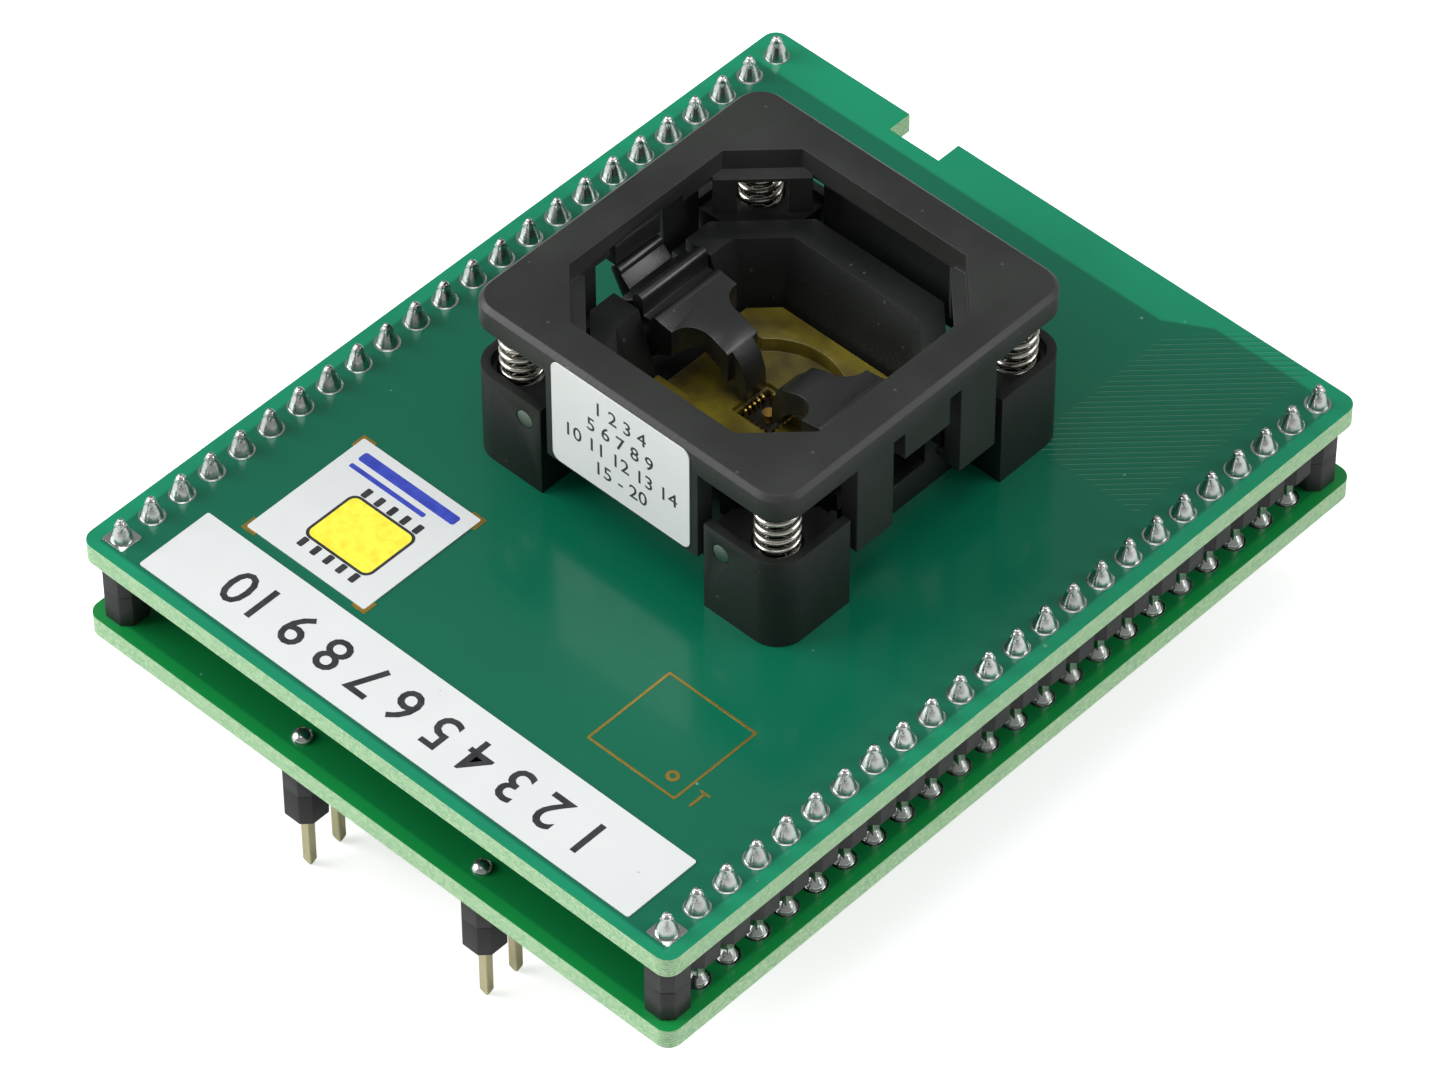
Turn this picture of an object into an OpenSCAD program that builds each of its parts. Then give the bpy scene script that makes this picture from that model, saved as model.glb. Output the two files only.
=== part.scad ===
// Device-programmer adapter: an open-top zero-insertion-force test socket for a
// small leadless chip, on two stacked circuit boards with a 48-pin plug below.
// The plug's pin tips stand on z = 0, centred on the origin. X runs along the
// boards' short side, Y along their long side, away from the label strip.

/* [Boards] */
// Board beyond the middle of each row of board pins
board_side = 1.84; // [1.5:0.01:6]
// Board beyond the ends of the pin strips
board_end = 0.57; // [0.3:0.01:6]
// Thickness of a circuit board
board_t = 1.5; // [1:0.1:2]
// Corner radius of the boards
board_corner_r = 1; // [0.5:0.1:2]
// Width of the key notch in the upper board's far edge
notch_w = 4.2; // [3:0.1:6]
// Depth of the key notch
notch_d = 1.9; // [1:0.1:2.5]
// Sideways place of the key notch
notch_x = -10.8; // [-14:0.1:14]

/* [Pins] */
// Distance from pin to pin in a row
pitch = 2.54; // [2.4:0.01:2.54]
// Number of pins in each row
pins = 24; // [20:1:24]
// Distance between the two rows that join the boards
board_row_gap = 45.72; // [44:0.01:46]
// Distance between the two plug rows
plug_row_gap = 15.24; // [12:0.01:18]
// Width of a square pin
pin_w = 0.64; // [0.5:0.01:0.7]
// Length of plug pin below the plug strips
plug_pin_free = 5.2; // [4:0.1:7]
// Height of the board pins above the upper board
pin_stand = 1.65; // [1.2:0.05:2]
// Diameter of the plated pin holes
pin_hole_d = 1.0; // [0.96:0.01:1.05]

/* [Strips] */
// Width of a black pin strip
strip_w = 2.5; // [2.2:0.05:2.6]
// Height of a black pin strip
strip_h = 2.5; // [2:0.1:3]
// Chamfer at the corners of each strip segment
strip_bevel = 0.6; // [0.3:0.05:0.8]

/* [Labels] */
// Thickness of the paper labels
label_t = 0.1; // [0.08:0.01:0.2]
// Distance from a row of board pins to the end of the paper strip
strip_label_gap = 2.36; // [1.8:0.01:8]
// Width of the paper strip
strip_label_w = 5.85; // [4:0.05:8]
// Side of the square sticker
square_label_w = 10.1; // [8:0.1:11]
// Margin at each side of the label on the socket's skirt
skirt_label_gap = 0.6; // [0.3:0.05:2]
// Height of the label on the socket's skirt
skirt_label_h = 8.4; // [6:0.1:8.6]

/* [Socket base] */
// Side of the square socket
socket_w = 26; // [25.5:0.1:28]
// Distance from the boards' middle to the socket's middle
socket_y = 3.95; // [2:0.05:6]
// Corner radius of the socket
socket_r = 2; // [1:0.1:2.5]
// Width of a corner tower
tower_w = 6.2; // [6:0.05:6.4]
// Height of a corner tower
tower_h = 7.2; // [6.9:0.1:7.6]
// Thickness of the rim round a tower's top
tower_rim = 0.6; // [0.4:0.05:0.8]
// Depth of a tower's top inside its rim
tower_dip = 0.6; // [0.3:0.05:0.8]
// How far the ring round the chip well stands back from the socket's sides
ring_back = 3; // [2.9:0.05:3.2]
// Height of the ring
ring_h = 8; // [7.6:0.05:8.1]
// Thickness of the ring at its top
ring_wall = 2.1; // [1.7:0.05:2.4]
// Gap between the nest and the chip well
nest_gap = 0.15; // [0.1:0.01:0.3]
// Thickness of the socket's floor
floor_t = 1.5; // [1.2:0.1:1.8]
// Height of the sill across the latch windows
sill_h = 2.4; // [2:0.1:2.8]

/* [Cover] */
// Height of the cover's top above the board
cover_top = 12.9; // [12.7:0.1:13.5]
// Thickness of the cover plate
plate_t = 1.9; // [1.7:0.05:2.1]
// Softening of the plate's top edge
plate_bevel = 0.35; // [0.1:0.05:0.5]
// Width of the frame round the octagonal opening
frame_w = 2.75; // [2.5:0.05:2.8]
// Leg of the opening's corner chamfers
opening_cut = 3.5; // [3:0.1:4]
// Gap between a skirt and the towers beside it
skirt_gap = 0.5; // [0.4:0.05:0.8]
// Thickness of the skirts, legs and cams
skirt_t = 1.3; // [1:0.05:1.5]
// Height of the skirts' lower edge above the board
skirt_foot = 3.9; // [3.7:0.1:4.2]
// How far the cover goes down
travel = 3.4; // [3.2:0.05:3.5]

/* [Latches] */
// Distance from the socket's side to a latch's pivot
pivot_in = 4.83; // [4.8:0.01:4.9]
// Height of the latch pivots above the board
pivot_h = 5.55; // [5.5:0.01:5.6]
// Diameter of the dowel pins
dowel_d = 1.3; // [1.2:0.02:1.36]
// Half width of a latch at its pivot
latch_half = 2.9; // [2.6:0.05:3]
// Half width of the claw
claw_half = 0.9; // [0.7:0.05:1.2]

/* [Springs] */
// Outer diameter of the coil springs
spring_d = 2.96; // [2.8:0.02:3]
// Wire diameter of the coil springs
wire_d = 0.42; // [0.36:0.01:0.46]
// Number of turns of a spring
spring_turns = 11; // [9:1:11]
// Distance from the socket's sides to a spring's axis
spring_in = 2.4; // [2.3:0.01:2.5]
// Height of the spring seats above the board
spring_seat = 2.6; // [2:0.1:3]

/* [Chip seat] */
// Side of the square chip that the nest holds
chip_w = 3; // [2.9:0.1:3.2]
// How far the nest's edge stands back from the outside of the ring
nest_back = 3.8; // [3.75:0.05:4]
// Height of the nest's table above the board
nest_h = 2.5; // [2.4:0.05:2.6]
// Height of the nest's arched walls above the board
nest_wall_h = 3.6; // [3.2:0.1:4.4]
// Distance between neighbouring contacts
contact_pitch = 0.4; // [0.35:0.01:0.5]
// Contacts on each side of the chip
contacts_per_side = 5; // [3:1:5]
// Thickness of a contact
contact_t = 0.15; // [0.1:0.01:0.2]

/* [Hidden] */
$fn = 48;

fit_gap = 0.02;        // a pin or peg in the hole that holds it
run_gap = 0.05;        // a shaft in the hole that turns on it
slide_gap = 0.3;       // a sliding piece beside its guide
cut_over = 1;          // how far a cut runs past the face it opens

// levels, from the plug pins' tips up
riser_z = plug_pin_free;
plug_strip_z = riser_z + strip_h;
lower_z = plug_strip_z + strip_h;
spacer_z = lower_z + board_t;
board_strip_z = spacer_z + strip_h;
upper_z = board_strip_z + strip_h;
deck_z = upper_z + board_t;

pin_count = round(pins);
board_w = board_row_gap + 2 * board_side;
board_l = pin_count * pitch + 2 * board_end;
board_row_x = board_row_gap / 2;
plug_row_x = plug_row_gap / 2;
strip_label_l = board_row_gap - 2 * strip_label_gap;

// the socket's plan, from its outside in
socket_half = socket_w / 2;
tower_in = socket_half - tower_w;       // inner face of the towers
skirt_half = tower_in - skirt_gap;
skirt_label_w = 2 * (skirt_half - skirt_label_gap);
spring_offset = socket_half - spring_in;
opening_half = socket_half - frame_w;
ring_half = socket_half - ring_back;
well_top = ring_half - ring_wall;
nest_half = ring_half - nest_back;
well_low = nest_half + nest_gap;
pivot_x = socket_half - pivot_in;
plate_z = cover_top - plate_t;
window_half = latch_half + slide_gap;
spring_len = plate_z - spring_seat;

black = "#2b2b2b";
steel = "#c9cbcc";
amber = "#c9a227cc";

// ---------------------------------------------------------------- helpers

function pin_y(i) = (i - (pin_count - 1) / 2) * pitch;

module at_each_pin(first = 0, last = pin_count - 1)
    for (i = [first : last])
        translate([0, pin_y(i), 0])
            children();

module on_socket()
    translate([0, socket_y, deck_z])
        children();

module both_rows(x)
    for (side = [-1, 1])
        translate([side * x, 0, 0])
            children();

module round_rect(w, l, r) {
    square([w - 2 * r, l], center = true);
    square([w, l - 2 * r], center = true);
    for (sx = [-1, 1], sy = [-1, 1])
        translate([sx * (w / 2 - r), sy * (l / 2 - r)])
            circle(r);
}

// square block whose outline is an octagon with short corner legs
module octagon(half, leg)
    intersection() {
        square(2 * half, center = true);
        rotate(45)
            square((2 * half - leg) * sqrt(2), center = true);
    }

// prism with a trapezoid section, narrow at the bottom, long along Y
module trough(low_half, top_half, height, half_length)
    translate([0, half_length, 0])
        rotate([90, 0, 0])
            linear_extrude(2 * half_length)
                polygon([[-low_half, 0], [low_half, 0], [top_half, height],
                         [-top_half, height]]);

// rounded plate whose top edge is bevelled all round
module soft_plate(w, l, r, t, bevel) {
    linear_extrude(t - bevel)
        round_rect(w, l, r);
    translate([0, 0, t - bevel]) {
        for (sx = [-1, 1], sy = [-1, 1])
            translate([sx * (w / 2 - r), sy * (l / 2 - r), 0])
                cylinder(h = bevel, r1 = r, r2 = r - bevel);
        trough(w / 2, w / 2 - bevel, bevel, l / 2 - r);
        rotate(90)
            trough(l / 2, l / 2 - bevel, bevel, w / 2 - r);
    }
}

// ---------------------------------------------------------------- boards

module pin_holes(x)
    both_rows(x)
        at_each_pin()
            circle(d = pin_hole_d);

module board_outline()
    difference() {
        round_rect(board_w, board_l, board_corner_r);
        pin_holes(board_row_x);
    }

module upper_board()
    color("#0f7a4d")
        translate([0, 0, upper_z])
            linear_extrude(board_t)
                difference() {
                    board_outline();
                    translate([notch_x, board_l / 2])
                        square([notch_w, 2 * notch_d], center = true);
                    translate([0, socket_y])
                        board_contact_holes();
                }

module lower_board()
    color("#17824a")
        translate([0, 0, lower_z])
            linear_extrude(board_t)
                difference() {
                    board_outline();
                    pin_holes(plug_row_x);
                }

// ---------------------------------------------------------------- strips

module strip_segment()
    difference() {
        polygon([[-strip_w / 2, strip_bevel - pitch / 2], [strip_bevel - strip_w / 2, -pitch / 2],
                 [strip_w / 2 - strip_bevel, -pitch / 2], [strip_w / 2, strip_bevel - pitch / 2],
                 [strip_w / 2, pitch / 2 - strip_bevel], [strip_w / 2 - strip_bevel, pitch / 2],
                 [strip_bevel - strip_w / 2, pitch / 2], [-strip_w / 2, pitch / 2 - strip_bevel]]);
        square(pin_w + 2 * fit_gap, center = true);
    }

module strip(x, z, first = 0, last = pin_count - 1)
    color(black)
        translate([x, 0, z])
            linear_extrude(strip_h)
                at_each_pin(first, last)
                    strip_segment();

module board_strip_left() strip(-board_row_x, board_strip_z);
module board_strip_right() strip(board_row_x, board_strip_z);
module plug_strip_left() strip(-plug_row_x, plug_strip_z);
module plug_strip_right() strip(plug_row_x, plug_strip_z);
module plug_riser_left() strip(-plug_row_x, riser_z);
module plug_riser_right() strip(plug_row_x, riser_z);

module end_spacers()
    for (side = [-1, 1], end = [0, pin_count - 1])
        strip(side * board_row_x, spacer_z, end, end);

// ---------------------------------------------------------------- pins and solder

pin_tip = 0.5;         // length of a pin's tapered tip
pin_tip_w = 0.24;      // width of a pin at its very tip
tail_out = 0.6;        // board pins below the lower board
plug_head = 0.2;       // plug pins above the lower board

// square pin from z = 0, tapered at the end or ends asked for
module square_pin(length, low_tip, high_tip) {
    w = pin_w / 2;
    low = low_tip ? pin_tip_w / 2 : w;
    high = high_tip ? pin_tip_w / 2 : w;
    side = [[-low, 0], [low, 0], [w, pin_tip], [w, length - pin_tip], [high, length],
            [-high, length], [-w, length - pin_tip], [-w, pin_tip]];
    intersection() {
        rotate([90, 0, 0])
            linear_extrude(pin_w, center = true)
                polygon(side);
        rotate([90, 0, 90])
            linear_extrude(pin_w, center = true)
                polygon(side);
    }
}

module board_pins(x)
    color(steel)
        translate([x, 0, lower_z - tail_out])
            at_each_pin()
                square_pin(deck_z + pin_stand - lower_z + tail_out, false, true);

module plug_pins(x)
    color("#d8cf9a")
        translate([x, 0, 0])
            at_each_pin()
                square_pin(spacer_z + plug_head, true, false);

module board_pins_left() board_pins(-board_row_x);
module board_pins_right() board_pins(board_row_x);
module plug_pins_left() plug_pins(-plug_row_x);
module plug_pins_right() plug_pins(plug_row_x);

solder_r = 0.8;        // radius of a solder cone's foot
solder_top_r = 0.46;   // radius of a solder cone where it ends on the pin
solder_h = 1.1;        // height of a solder cone

// hollow-sided cone of solder that has climbed a pin
module solder_cone(height = solder_h)
    difference() {
        rotate_extrude()
            polygon([[0, 0], [solder_r, 0], [solder_r, 0.08], [0.6, height * 0.35],
                     [0.5, height * 0.7], [solder_top_r, height], [0, height]]);
        translate([0, 0, height / 2])
            cube([pin_w + 2 * fit_gap, pin_w + 2 * fit_gap, height + cut_over], center = true);
    }

module upper_solder()
    color(steel)
        translate([0, 0, deck_z])
            both_rows(board_row_x)
                at_each_pin()
                    solder_cone();

// the end pins are soldered under the board, where their spacers leave room
module lower_solder()
    color(steel)
        both_rows(board_row_x) {
            translate([0, 0, spacer_z])
                at_each_pin(1, pin_count - 2)
                    solder_cone();
            for (end = [0, pin_count - 1])
                translate([0, pin_y(end), lower_z])
                    mirror([0, 0, 1])
                        solder_cone(tail_out);
        }

// low dome of solder that covers the head of a plug pin
module plug_solder()
    color(steel)
        translate([0, 0, spacer_z])
            both_rows(plug_row_x)
                at_each_pin()
                    difference() {
                        intersection() {
                            translate([0, 0, -0.2])
                                sphere(0.8, $fn = 24);
                            cylinder(h = 1, r = 1);
                        }
                        cube([pin_w + 2 * fit_gap, pin_w + 2 * fit_gap,
                              2 * (plug_head + fit_gap)], center = true);
                    }

// ---------------------------------------------------------------- labels

module paper(w, l)
    color("white")
        linear_extrude(label_t)
            round_rect(w, l, 0.15);

strip_label_y = 3.95;  // middle of the paper strip, from the boards' near edge
square_label_x = 11.75; // middle of the square sticker, from the boards' left edge
square_label_y = 12.75; // and from their near edge

module strip_label()
    translate([0, strip_label_y - board_l / 2, deck_z])
        paper(strip_label_l, strip_label_w);

module square_label()
    translate([square_label_x - board_w / 2, square_label_y - board_l / 2, deck_z])
        paper(square_label_w, square_label_w);

module skirt_label()
    color("white")
        translate([0, socket_y - socket_half, deck_z + cover_top - plate_bevel - skirt_label_h / 2])
            rotate([90, 0, 0])
                linear_extrude(label_t)
                    round_rect(skirt_label_w, skirt_label_h, 0.5);

// ---------------------------------------------------------------- socket base

web_in = socket_w - 10.3;               // corner webs: sum of x and y at the inner face
web_out = web_in + 1.2;                 // and at the outer face
web_slot = 3.2;                         // width of the slot in a corner web
web_foot = 8.3;                         // height of a web's lower edge above the board
web_room = web_foot - travel - 0.2;     // floor of the groove that takes a web
hook_reach = 0.7;                       // how far a leg's hook reaches inwards
hook_h = 0.7;                           // height of a hook
leg_in = 3.0;                           // legs begin this far from the middle
leg_out = tower_in - 0.6;               // and end here
rail_z = skirt_foot + hook_h + 0.1;     // underside of the rail that the hooks catch
rail_h = 1.4;                           // height of that rail
rail_out = 1.2;                         // how far it stands out of the ring
rail_root = 1;                          // and how far it reaches into the ring
well_foot = 3;                          // height at which the well's slopes begin
well_leg_low = 1.4;                     // corner legs of the well at its foot
well_leg_top = 2.7;                     // and at its top
peg_d = 1.5;                            // locating pegs under the base
peg_x = socket_half - 2;                // place of the pegs

module at_corners()
    for (a = [0, 90, 180, 270])
        rotate(a)
            children();

module base_plan() {
    square(2 * ring_half, center = true);
    intersection() {
        round_rect(socket_w, socket_w, socket_r);
        for (sx = [-1, 1], sy = [-1, 1])
            translate([sx * (tower_in + tower_w), sy * (tower_in + tower_w)])
                square(2 * tower_w, center = true);
    }
}

// what is between two diagonal planes across a corner, seen from above
module corner_band(inner, outer, width)
    rotate(45)
        translate([(inner + outer) / 2 / sqrt(2), 0])
            square([(outer - inner) / sqrt(2), width], center = true);

// prism across the well that gives one pair of its slopes
module well_slopes(turn, low, top) {
    deep = ring_h - well_foot;
    rotate(turn)
        trough(low, low + (top - low) * (deep + cut_over) / deep, deep + cut_over, socket_w);
}

module chip_well() {
    corner_low = (2 * well_low - well_leg_low) / sqrt(2);
    corner_top = (2 * well_top - well_leg_top) / sqrt(2);
    translate([0, 0, well_foot])
        intersection() {
            well_slopes(0, well_low, well_top);
            well_slopes(90, well_low, well_top);
            well_slopes(45, corner_low, corner_top);
            well_slopes(-45, corner_low, corner_top);
        }
    translate([0, 0, floor_t])
        linear_extrude(well_foot + 0.01 - floor_t)
            octagon(well_low, well_leg_low);
}

module tower_top()
    translate([0, 0, tower_h - tower_dip])
        linear_extrude(tower_dip + cut_over)
            intersection() {
                round_rect(socket_w - 2 * tower_rim, socket_w - 2 * tower_rim,
                           socket_r - tower_rim);
                difference() {
                    square(socket_w, center = true);
                    octagon(ring_half, 2 * ring_half - web_in + 0.4);
                }
            }

module socket_base()
    color(black)
        on_socket()
            difference() {
                union() {
                    linear_extrude(tower_h)
                        base_plan();
                    linear_extrude(ring_h)
                        octagon(ring_half, 2 * ring_half - web_in + 0.4);
                    for (side = [-1, 1], end = [-1, 1])
                        translate([side * (ring_half + (rail_out - rail_root) / 2),
                                   end * (leg_in + leg_out - 0.2) / 2, rail_z + rail_h / 2])
                            cube([rail_root + rail_out, leg_out - leg_in - 0.2, rail_h],
                                 center = true);
                    for (side = [-1, 1])
                        translate([side * peg_x, side * peg_x, -board_t])
                            cylinder(h = board_t, d = peg_d);
                }
                chip_well();
                tower_top();
                // hole for the contact housing
                translate([0, 0, -cut_over])
                    linear_extrude(floor_t + 2 * cut_over)
                        square(2 * housing_half + 2 * fit_gap, center = true);
                // windows for the latches
                translate([0, 0, sill_h + ring_h / 2])
                    cube([2 * socket_w, 2 * window_half, ring_h], center = true);
                // bores for the dowels and the springs
                for (side = [-1, 1])
                    translate([side * pivot_x, socket_w, pivot_h])
                        rotate([90, 0, 0])
                            cylinder(h = 2 * socket_w, d = dowel_d + 2 * fit_gap);
                for (sx = [-1, 1], sy = [-1, 1])
                    translate([sx * spring_offset, sy * spring_offset, spring_seat])
                        cylinder(h = tower_h, d = spring_d + 0.24);
                // grooves for the cover's corner webs
                translate([0, 0, web_room])
                    linear_extrude(ring_h)
                        at_corners()
                            corner_band(web_in - 0.4, web_out + 0.4, 7.4);
            }

module dowel(x)
    color(steel)
        on_socket()
            translate([x, socket_half, pivot_h])
                rotate([90, 0, 0])
                    cylinder(h = socket_w, d = dowel_d);

module dowel_left() dowel(-pivot_x);
module dowel_right() dowel(pivot_x);

// ---------------------------------------------------------------- contacts

housing_half = 5;      // half width of the contact housing
tip_reach = 0.1;       // how far a contact's tip ends inside the chip's edge
tip_h = 2.15;          // height of a contact's tip above the board
foot_h = 0.7;          // height of a contact's beam above the board
bend_r = 0.375;        // outer radius of a contact's bends
tail_len = 1;          // contact tails below the upper board
near_tail = 2.6;       // distance of the inner row of tails from the middle
far_tail = 3.6;        // distance of the outer row
beam_w = 0.2;          // height of a contact's beam

function contact_y(i) = (i - (contacts_per_side - 1) / 2) * contact_pitch;
function tail_x(i) = i % 2 == 0 ? near_tail : far_tail;

// flat stamped contact in the XZ plane: a hooked spring end, a beam and a tail
module contact_shape(tail) {
    tip = chip_w / 2 - tip_reach;
    difference() {
        hook_outline(tip, bend_r);
        hook_outline(tip, bend_r - beam_w);
        translate([tip, 0])
            square(tip_h + cut_over);
    }
    translate([tip - 0.01, foot_h])
        square([tail - tip + 0.01, beam_w]);
    translate([tail - beam_w / 2, -board_t - tail_len])
        square([beam_w, board_t + tail_len + foot_h + beam_w]);
}

// both bends of a contact and what is between them, as a solid shape
module hook_outline(x, r) {
    for (h = [tip_h - bend_r, foot_h + bend_r])
        translate([x, h])
            circle(r, $fn = 32);
    translate([x - r, foot_h + bend_r])
        square([2 * r, tip_h - foot_h - 2 * bend_r]);
}

module contact_row(turn)
    color("#d9b35b")
        on_socket()
            rotate(turn)
                for (i = [0 : contacts_per_side - 1])
                    translate([0, contact_y(i) + contact_t / 2, 0])
                        rotate([90, 0, 0])
                            linear_extrude(contact_t)
                                contact_shape(tail_x(i));

module contacts_right() contact_row(0);
module contacts_back() contact_row(90);
module contacts_left() contact_row(180);
module contacts_front() contact_row(270);

module at_tails()
    for (turn = [0, 90, 180, 270], i = [0 : contacts_per_side - 1])
        rotate(turn)
            translate([tail_x(i), contact_y(i)])
                children();

tail_hole_d = 0.35;    // plated holes for the contact tails
ground_d = 0.8;        // diameter of the centre contact

module board_contact_holes() {
    at_tails()
        circle(d = tail_hole_d, $fn = 16);
    circle(d = ground_d + 2 * fit_gap);
    for (side = [-1, 1])
        translate([side * peg_x, side * peg_x])
            circle(d = peg_d + 2 * fit_gap);
}

module contact_housing()
    color("#1f1f1f")
        on_socket()
            difference() {
                linear_extrude(floor_t)
                    square(2 * housing_half, center = true);
                for (turn = [0, 90, 180, 270], i = [0 : contacts_per_side - 1])
                    rotate(turn)
                        translate([chip_w / 2 - tip_reach - bend_r - fit_gap,
                                   contact_y(i) - contact_t / 2 - fit_gap, -cut_over])
                            cube([tail_x(i) + beam_w + tip_reach + bend_r - chip_w / 2,
                                  contact_t + 2 * fit_gap, floor_t + 2 * cut_over]);
                translate([0, 0, -cut_over])
                    cylinder(h = floor_t + 2 * cut_over, d = ground_d + 2 * fit_gap);
            }

module ground_contact()
    color("#d9b35b")
        on_socket()
            translate([0, 0, -board_t - tail_len])
                cylinder(h = tip_h + board_t + tail_len, d = ground_d);

module contact_solder()
    color(steel)
        on_socket()
            translate([0, 0, -board_t])
                mirror([0, 0, 1]) {
                    at_tails()
                        difference() {
                            cylinder(h = 0.6, r1 = 0.34, r2 = 0.2, $fn = 24);
                            cube([beam_w + 2 * fit_gap, contact_t + 2 * fit_gap, 2], center = true);
                        }
                    difference() {
                        cylinder(h = 0.7, r1 = 0.9, r2 = 0.6);
                        cylinder(h = 3, d = ground_d + 2 * fit_gap, center = true);
                    }
                }

// ---------------------------------------------------------------- nest

module nest_plan()
    octagon(nest_half, 1.6);

module nest()
    color(amber)
        on_socket()
            difference() {
                union() {
                    translate([0, 0, floor_t])
                        linear_extrude(nest_h - floor_t)
                            nest_plan();
                    // arched walls in front of and behind the claws
                    translate([0, 0, nest_h])
                        linear_extrude(nest_wall_h - nest_h)
                            difference() {
                                nest_plan();
                                nest_yard();
                            }
                }
                // pocket and window for the chip
                translate([0, 0, 2.1])
                    linear_extrude(nest_wall_h)
                        square(chip_w + 0.2, center = true);
                translate([0, 0, floor_t - cut_over])
                    linear_extrude(nest_h)
                        square(chip_w - 0.1, center = true);
            }

// the open middle of the nest, where the claws come down
module nest_yard() {
    square([4 * nest_half, 2 * (latch_half + 0.4)], center = true);
    circle(nest_half - 1.3);
}

// ---------------------------------------------------------------- latches

lobe_x = pivot_x + 2.9; // place of the lobe that the cam presses
lobe_h = pivot_h + 2.65; // height of the lobe's middle
lobe_r = 0.42;         // radius of the lobe
crest_x = pivot_x + 0.08; // crest above the pivot
crest_h = pivot_h + 2.85; // height of the crest's middle
crest_r = 0.4;         // radius of the crest
brow_x = pivot_x - 1.37; // second crest, on the arm
brow_h = pivot_h + 1.85; // height of the second crest's middle
brow_r = 0.35;         // radius of the second crest
hub_r = 1.7;           // radius round the pivot
claw_x = 1.05;         // place of the claw's tip
claw_h = 3.0;          // height of the claw's tip

module latch_side()
    difference() {
        union() {
            translate([pivot_x, pivot_h])
                circle(hub_r);
            translate([lobe_x, lobe_h])
                circle(lobe_r, $fn = 32);
            translate([crest_x, crest_h])
                circle(crest_r, $fn = 32);
            translate([brow_x, brow_h])
                circle(brow_r, $fn = 32);
            // tail
            polygon([[pivot_x, pivot_h], [pivot_x + 1.5, pivot_h - 0.78],
                     [lobe_x + 0.38, lobe_h - 0.18], [lobe_x - 0.37, lobe_h],
                     [pivot_x + 1.78, pivot_h + 1.85], [pivot_x + 1, pivot_h + 2.1],
                     [crest_x + 0.3, crest_h - 0.2]]);
            // body under both crests
            polygon([[pivot_x + 1.2, pivot_h], [crest_x + 0.4, crest_h], [crest_x - 0.38, crest_h],
                     [crest_x - 0.45, brow_h - 0.1], [brow_x + 0.3, brow_h - 0.1],
                     [brow_x - 0.25, brow_h + 0.25], [brow_x - 1.6, brow_h - 0.05],
                     [brow_x - 1.8, pivot_h + 0.05], [pivot_x - 1.4, pivot_h - 0.9]]);
            // arm and claw
            polygon([[brow_x - 0.2, brow_h + 0.27], [3.6, 7.25], [2.4, 6.75], [1.5, 5.8],
                     [1.1, 4.6], [claw_x, claw_h], [claw_x + 0.75, claw_h], [2.2, 4.2],
                     [3.1, 5.2], [4.4, 5.75], [brow_x - 0.8, pivot_h - 0.05], [brow_x, pivot_h - 0.55]]);
        }
        translate([pivot_x, pivot_h])
            circle(d = dowel_d + 2 * run_gap);
    }

neck_half = 1.35;      // half width of the arm's neck
shoulder_x = pivot_x - 2.77; // where the arm narrows
shoulder_r = 1.5;      // radius of the shoulders
tail_half = 1.9;       // half width of the tail

module latch_plan() {
    translate([shoulder_x, -latch_half])
        square([pivot_x + 1.6 - shoulder_x, 2 * latch_half]);
    translate([pivot_x, -tail_half])
        square([lobe_x + 2 - pivot_x, 2 * tail_half]);
    translate([2.2, -neck_half])
        square([shoulder_x - 2.2 + 0.1, 2 * neck_half]);
    translate([0, -claw_half])
        square([2.4, 2 * claw_half]);
    // hollow shoulders
    for (side = [-1, 1])
        difference() {
            translate([shoulder_x - shoulder_r, side * (neck_half + shoulder_r / 2) - shoulder_r / 2])
                square([shoulder_r + 0.1, shoulder_r]);
            translate([shoulder_x - shoulder_r, side * (neck_half + shoulder_r)])
                circle(shoulder_r, $fn = 32);
        }
}

module latch()
    color(black)
        intersection() {
            translate([0, latch_half, 0])
                rotate([90, 0, 0])
                    linear_extrude(2 * latch_half)
                        latch_side();
            linear_extrude(cover_top)
                latch_plan();
        }

module latch_right()
    on_socket()
        latch();

module latch_left()
    on_socket()
        rotate(180)
            latch();

// ---------------------------------------------------------------- springs

spring_sides = 6;      // facets round the wire
spring_steps = 14;     // rings in one turn

// round wire swept along a helix that closes up at both ends
module coil_spring() {
    r = (spring_d - wire_d) / 2;
    rings = spring_turns * spring_steps;
    rise = spring_len - wire_d;
    function lift(t) = wire_d / 2 + rise * t;
    points = [for (k = [0 : rings], s = [0 : spring_sides - 1])
        let (turn = 360 * k / spring_steps, around = 360 * s / spring_sides)
            [(r + wire_d / 2 * cos(around)) * cos(turn), (r + wire_d / 2 * cos(around)) * sin(turn),
             lift(k / rings) + wire_d / 2 * sin(around)]];
    sides = [for (k = [0 : rings - 1], s = [0 : spring_sides - 1])
        let (a = k * spring_sides + s, b = k * spring_sides + (s + 1) % spring_sides)
            [b, a, a + spring_sides, b + spring_sides]];
    first = [for (s = [0 : spring_sides - 1]) s];
    last = [for (s = [spring_sides - 1 : -1 : 0]) rings * spring_sides + s];
    polyhedron(points, concat(sides, [first, last]));
}

module spring_at(sx, sy)
    color(steel)
        on_socket()
            translate([sx * spring_offset, sy * spring_offset, spring_seat])
                coil_spring();

module spring_front_left() spring_at(-1, -1);
module spring_front_right() spring_at(1, -1);
module spring_back_left() spring_at(-1, 1);
module spring_back_right() spring_at(1, 1);

// ---------------------------------------------------------------- cover

cam_half = 2;          // half width of a cam
cam_in = socket_half - 2; // inner face of a cam
cam_foot = 8.8;        // height of a cam's lower face above the board
crest_room = socket_half - 1.9; // half length of the hollow over the open latches
crest_room_h = 0.6;    // and its depth

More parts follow.
